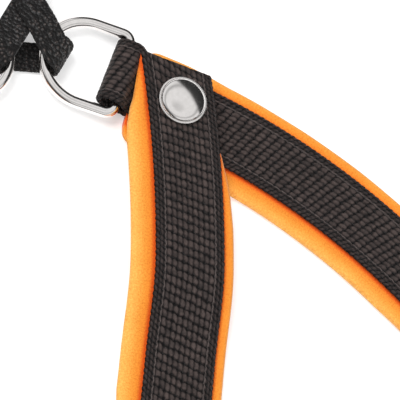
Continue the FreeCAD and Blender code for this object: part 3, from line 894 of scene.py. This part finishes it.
def control_strap():
    """The thin strap as one length: round the leash ring, through both D-rings and back."""
    bend = CONTROL_LOOP + CONTROL_THICK / 2
    loop = STEM_LOOP + CONTROL_THICK / 2
    fold = np.array([CONTROL_FOLD[0], RIVET[1] + CONTROL_FOLD[1], TAB_BAR[2]])
    leg = unit(2 * CONTROL_FOLD_ANGLE)
    length = -fold[0] / leg[0]
    ahead, across = unit(90), unit(0)
    low, high = loop - CONTROL_THICK, loop + CONTROL_THICK
    under, over = ((13.0, low), (8.0, low), (2.0, -loop)), ((1.5, loop), (6.0, high), (11.0, high))
    stem = [STEM_BAR - back * ahead + UP * z for back, z in under]
    stem += arc_points(STEM_BAR, ahead, UP, loop, -math.pi / 2, math.pi / 2, 11)
    stem += [STEM_BAR - back * ahead + UP * z for back, z in over]
    half, sides = [], []
    leg_spots = ((1.0, 1.0), (0.6, 1.0), (0.35, 0.5), (0.12, 0.0))
    for share, rise in leg_spots:
        half.append(fold + share * length * leg + UP * (bend + rise * CONTROL_THICK))
        sides.append(unit(2 * CONTROL_FOLD_ANGLE - 90))
    outward = unit(CONTROL_FOLD_ANGLE - 90)
    turn = arc_points(fold, outward, UP, bend, math.pi / 2, -math.pi / 2, 13)
    half += turn
    sides += [FOLD_STRETCH * unit(CONTROL_FOLD_ANGLE)] * len(turn)
    half += [fold - 5.0 * across - UP * bend, fold * np.array([0, 1, 1]) - UP * bend]
    sides += [ahead, ahead]
    flip = np.array([-1.0, 1.0, 1.0])
    back = [flip * spot for spot in half[-2::-1]]
    back_sides = [flip * way for way in sides[-2::-1]]
    for i in range(len(back) - len(leg_spots), len(back)):
        back[i] = np.array([back[i][0], back[i][1], fold[2] + bend])
    end = [STEM_BAR - 7.0 * ahead + UP * loop]
    points = stem + half + back + end
    every_side = [across] * len(stem) + sides + back_sides + [-across]
    line, side = smooth_line(points, every_side, CONTROL_SPREAD, CONTROL_STEP)
    width = CONTROL_WIDTH / 2
    shape = (CONTROL_THICK, CONTROL_COLUMNS, CONTROL_EDGE)
    return ribbon("control_strap_knit", knit, line, side, width, width, *shape, knit_relief)


def knit_relief(across, along, left, right):
    """The thin strap's pebbly stitches, as dips in millimetres."""
    row = np.round(along / KNIT_PITCH)
    shift = 0.5 * np.mod(row, 2)
    column = across / KNIT_PITCH + shift
    a = 2 * (column - np.round(column))
    b = 2 * (along / KNIT_PITCH - row)
    hump = np.clip(1 - np.abs(a) ** KNIT_POWER - np.abs(b) ** KNIT_POWER, 0, 1) ** 0.5
    return KNIT_DEPTH * (1 - hump)


def seam(name, centre, heading, length, width, z):
    """A box of stitches with a cross, pulled down into the strap."""
    forward, left = unit(heading), unit(heading + 90)
    corners = [
        centre + x * length / 2 * forward + y * width / 2 * left
        for x, y in ((-1, -1), (1, -1), (1, 1), (-1, 1), (-1, -1), (1, 1), (1, -1), (-1, 1))
    ]
    vertices, faces = [], []
    around = THREAD_SIDES
    ring = np.linspace(0, 2 * math.pi, around, endpoint=False)
    for first, last in zip(corners, corners[1:]):
        way = last - first
        size = np.linalg.norm(way)
        way = way / size
        beside = np.cross(UP, way)
        count = max(2, int(round(size / STITCH_PITCH)))
        pitch = size / count
        for i in range(count):
            middle = first + way * pitch * (i + 0.5)
            middle[2] = z
            base = len(vertices)
            for t in np.linspace(-1, 1, STITCH_SPOTS):
                swell = THREAD_RADIUS * math.sqrt(max(0.0, 1 - abs(t) ** 3)) + 0.02
                height = STITCH_RISE - STITCH_SINK * abs(t) ** 3
                spine = middle + way * t * pitch * STITCH_SHARE + UP * height
                vertices += [
                    spine + swell * (math.cos(a) * beside + math.sin(a) * UP) for a in ring
                ]
            for j in range(STITCH_SPOTS - 1):
                for k in range(around):
                    m = (k + 1) % around
                    at, over = base + around * j, base + around * (j + 1)
                    faces.append([at + k, at + m, over + m, over + k])
            far = base + around * (STITCH_SPOTS - 1)
            faces.append([base + k for k in range(around)][::-1])
            faces.append([far + k for k in range(around)])
    return new_object(name, vertices, faces, thread)


def moulding(node, name):
    """A plastic fitting with its sharp edges eased and its faces grained."""
    made = bpy.data.objects.new(name, frame["nodes"][node].data.copy())
    bpy.context.scene.collection.objects.link(made)
    made.data.materials.clear()
    made.data.materials.append(plastic)
    mesh = bmesh.new()
    mesh.from_mesh(made.data)
    bmesh.ops.remove_doubles(mesh, verts=mesh.verts, dist=WELD_GAP * MM)
    flat = math.radians(FLAT_ANGLE)
    bmesh.ops.dissolve_limit(mesh, angle_limit=flat, verts=mesh.verts, edges=mesh.edges)
    mesh.to_mesh(made.data)
    mesh.free()
    made.data.polygons.foreach_set("use_smooth", [True] * len(made.data.polygons))
    eased = made.modifiers.new("eased_edges", "BEVEL")
    eased.width = EASED_WIDTH * MM
    eased.segments = 2
    eased.limit_method = "ANGLE"
    eased.angle_limit = math.radians(SHARP_ANGLE)
    eased.harden_normals = True
    return made


both_sides(girth_strap(), "girth", "girth_webbing", "webbing")
both_sides(shoulder_strap(), "shoulder", "shoulder_webbing", "webbing")
both_sides(girth_cushion(), "girth", "girth_pad", "pad", fill=0.6)
both_sides(shoulder_cushion(), "shoulder", "shoulder_pad", "pad", fill=0.6)
both_sides(cap(), "girth", "rivet_cap", "chrome")
both_sides(foot(), "girth", "rivet_base", "chrome")
wire = ring_points(TAB_BAR, RING_HEADING, RING_HALF, RING_DEPTH)
both_sides(wire_loop("d_ring_wire_right", wire), "ring", "d_ring", "chrome")

eye = wire_loop("leash_ring_wire", ring_points(STEM_BAR, 90, LEASH_HALF, LEASH_DEPTH))
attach(eye, "leash_ring_body")
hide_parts("leash_ring")
thin = control_strap()
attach(thin, "control")
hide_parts("control_strap")

girth_turn = girth.direction(GIRTH_PAD_LENGTH)
shoulder_turn = shoulder.direction(SHOULDER_BENT)
tails = (("girth", GIRTH_BAR, girth_turn), ("shoulder", SHOULDER_BAR, shoulder_turn))
for label, bar, heading in tails:
    middle = bar + SEAM_BACK * unit(heading)
    sewn = seam(label + "_stitches_right", middle, heading, *SEAM_SIZE, STRAP_TOP)
    both_sides(sewn, label, label + "_stitching", "thread")
stem_top = STEM_BAR[2] + STEM_LOOP + 2 * CONTROL_THICK
stem_middle = STEM_BAR + STEM_SEAM_BACK * unit(-90)
sewn = seam("control_stitches", stem_middle, 90, *STEM_SEAM_SIZE, stem_top)
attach(sewn, "control")
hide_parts("control_stitching")

for node, solid in frame["nodes"].items():
    if "slider" in node or "buckle" in node:
        fitting = moulding(node, node + "_moulded")
        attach(fitting, solid["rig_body"])
        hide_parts(node)


# ---------------------------------------------------------------- stage, light and camera

bpy.ops.mesh.primitive_plane_add(size=6.0, location=(0, 0, -0.05 * MM))
floor = bpy.context.object
floor.name = "floor"
floor.data.materials.append(surface_material())


def grey_ramp(tree, source, stops):
    """A ramp of greys, set out as (position, grey), that a node's output runs along."""
    node = tree.nodes.new("ShaderNodeValToRGB")
    set_stops(node.color_ramp, [(position, (grey,) * 3) for position, grey in stops])
    tree.links.new(source, node.inputs[0])
    return node.outputs[0]


def studio():
    """A white room for the chrome to reflect: a dark card at each end, a dark skirting and a grey
    band part way up."""
    world = bpy.data.worlds.new("studio")
    bpy.context.scene.world = world
    world.use_nodes = True
    tree = world.node_tree
    backdrop = tree.nodes["Background"]
    where = tree.nodes.new("ShaderNodeTexCoord").outputs["Generated"]
    facing = tree.nodes.new("ShaderNodeVectorMath")
    facing.operation = "DOT_PRODUCT"
    facing.inputs[1].default_value = Vector((0.80, 0.56, 0.02)).normalized()
    tree.links.new(where, facing.inputs[0])
    share = tree.nodes.new("ShaderNodeMapRange")
    share.inputs["From Min"].default_value = -1.0
    tree.links.new(facing.outputs["Value"], share.inputs["Value"])
    cards = ((0.0, 0.05), (0.10, 0.12), (0.17, 0.95), (0.795, 0.95), (0.82, 0.05), (1.0, 0.03))
    height = tree.nodes.new("ShaderNodeSeparateXYZ")
    tree.links.new(where, height.inputs[0])
    bands = [(0.16, 0.08), (0.23, 1.0), (0.55, 0.9), (0.69, 0.45)]
    bands += [(0.80, 1.0), (0.95, 1.0), (1.0, 0.7)]
    joined = tree.nodes.new("ShaderNodeMix")
    joined.data_type = "RGBA"
    joined.blend_type = "DARKEN"
    joined.inputs[0].default_value = 1.0
    tree.links.new(grey_ramp(tree, share.outputs["Result"], cards), joined.inputs[6])
    tree.links.new(grey_ramp(tree, height.outputs["Z"], bands), joined.inputs[7])
    tree.links.new(joined.outputs[2], backdrop.inputs["Color"])
    backdrop.inputs["Strength"].default_value = 0.85


def softbox(name, spot, aim, size, power):
    """A round lamp that lights the harness but isn't seen in the chrome."""
    light = bpy.data.lights.new(name, "AREA")
    light.shape = "DISK"
    light.size = size
    light.energy = power
    made = bpy.data.objects.new(name, light)
    made.location = spot
    made.rotation_euler = (Vector(aim) - Vector(spot)).to_track_quat("-Z", "Y").to_euler()
    made.visible_glossy = False
    bpy.context.scene.collection.objects.link(made)


studio()
softbox("key", (-0.55, 0.35, 1.0), (0.05, 0.05, 0), 0.7, 11.0)
softbox("fill", (0.6, -0.6, 0.8), (0.05, 0.05, 0), 0.9, 4.0)

tilt = math.radians(CAMERA_TILT)
level, uphill = Vector((1, -1, 0)).normalized(), Vector((1, 1, 0)).normalized()
leaning = math.cos(tilt) * uphill + math.sin(tilt) * Vector((0, 0, 1))
back = math.cos(tilt) * Vector((0, 0, 1)) - math.sin(tilt) * uphill
right = (level + leaning).normalized()
up = (leaning - level).normalized()
aim = Vector((RIVET[0] + AIM_OFFSET[0], RIVET[1] + AIM_OFFSET[1], 0)) * MM
lens = bpy.data.cameras.new("camera")
lens.sensor_width = 36
lens.lens = 190
lens.clip_start = 0.01
camera = bpy.data.objects.new("camera", lens)
turned = Matrix((right, up, back)).transposed().to_4x4()
camera.matrix_world = Matrix.Translation(aim + CAMERA_METRES_BACK * back) @ turned
bpy.context.scene.collection.objects.link(camera)
bpy.context.scene.camera = camera
bpy.context.scene.view_settings.view_transform = "Standard"
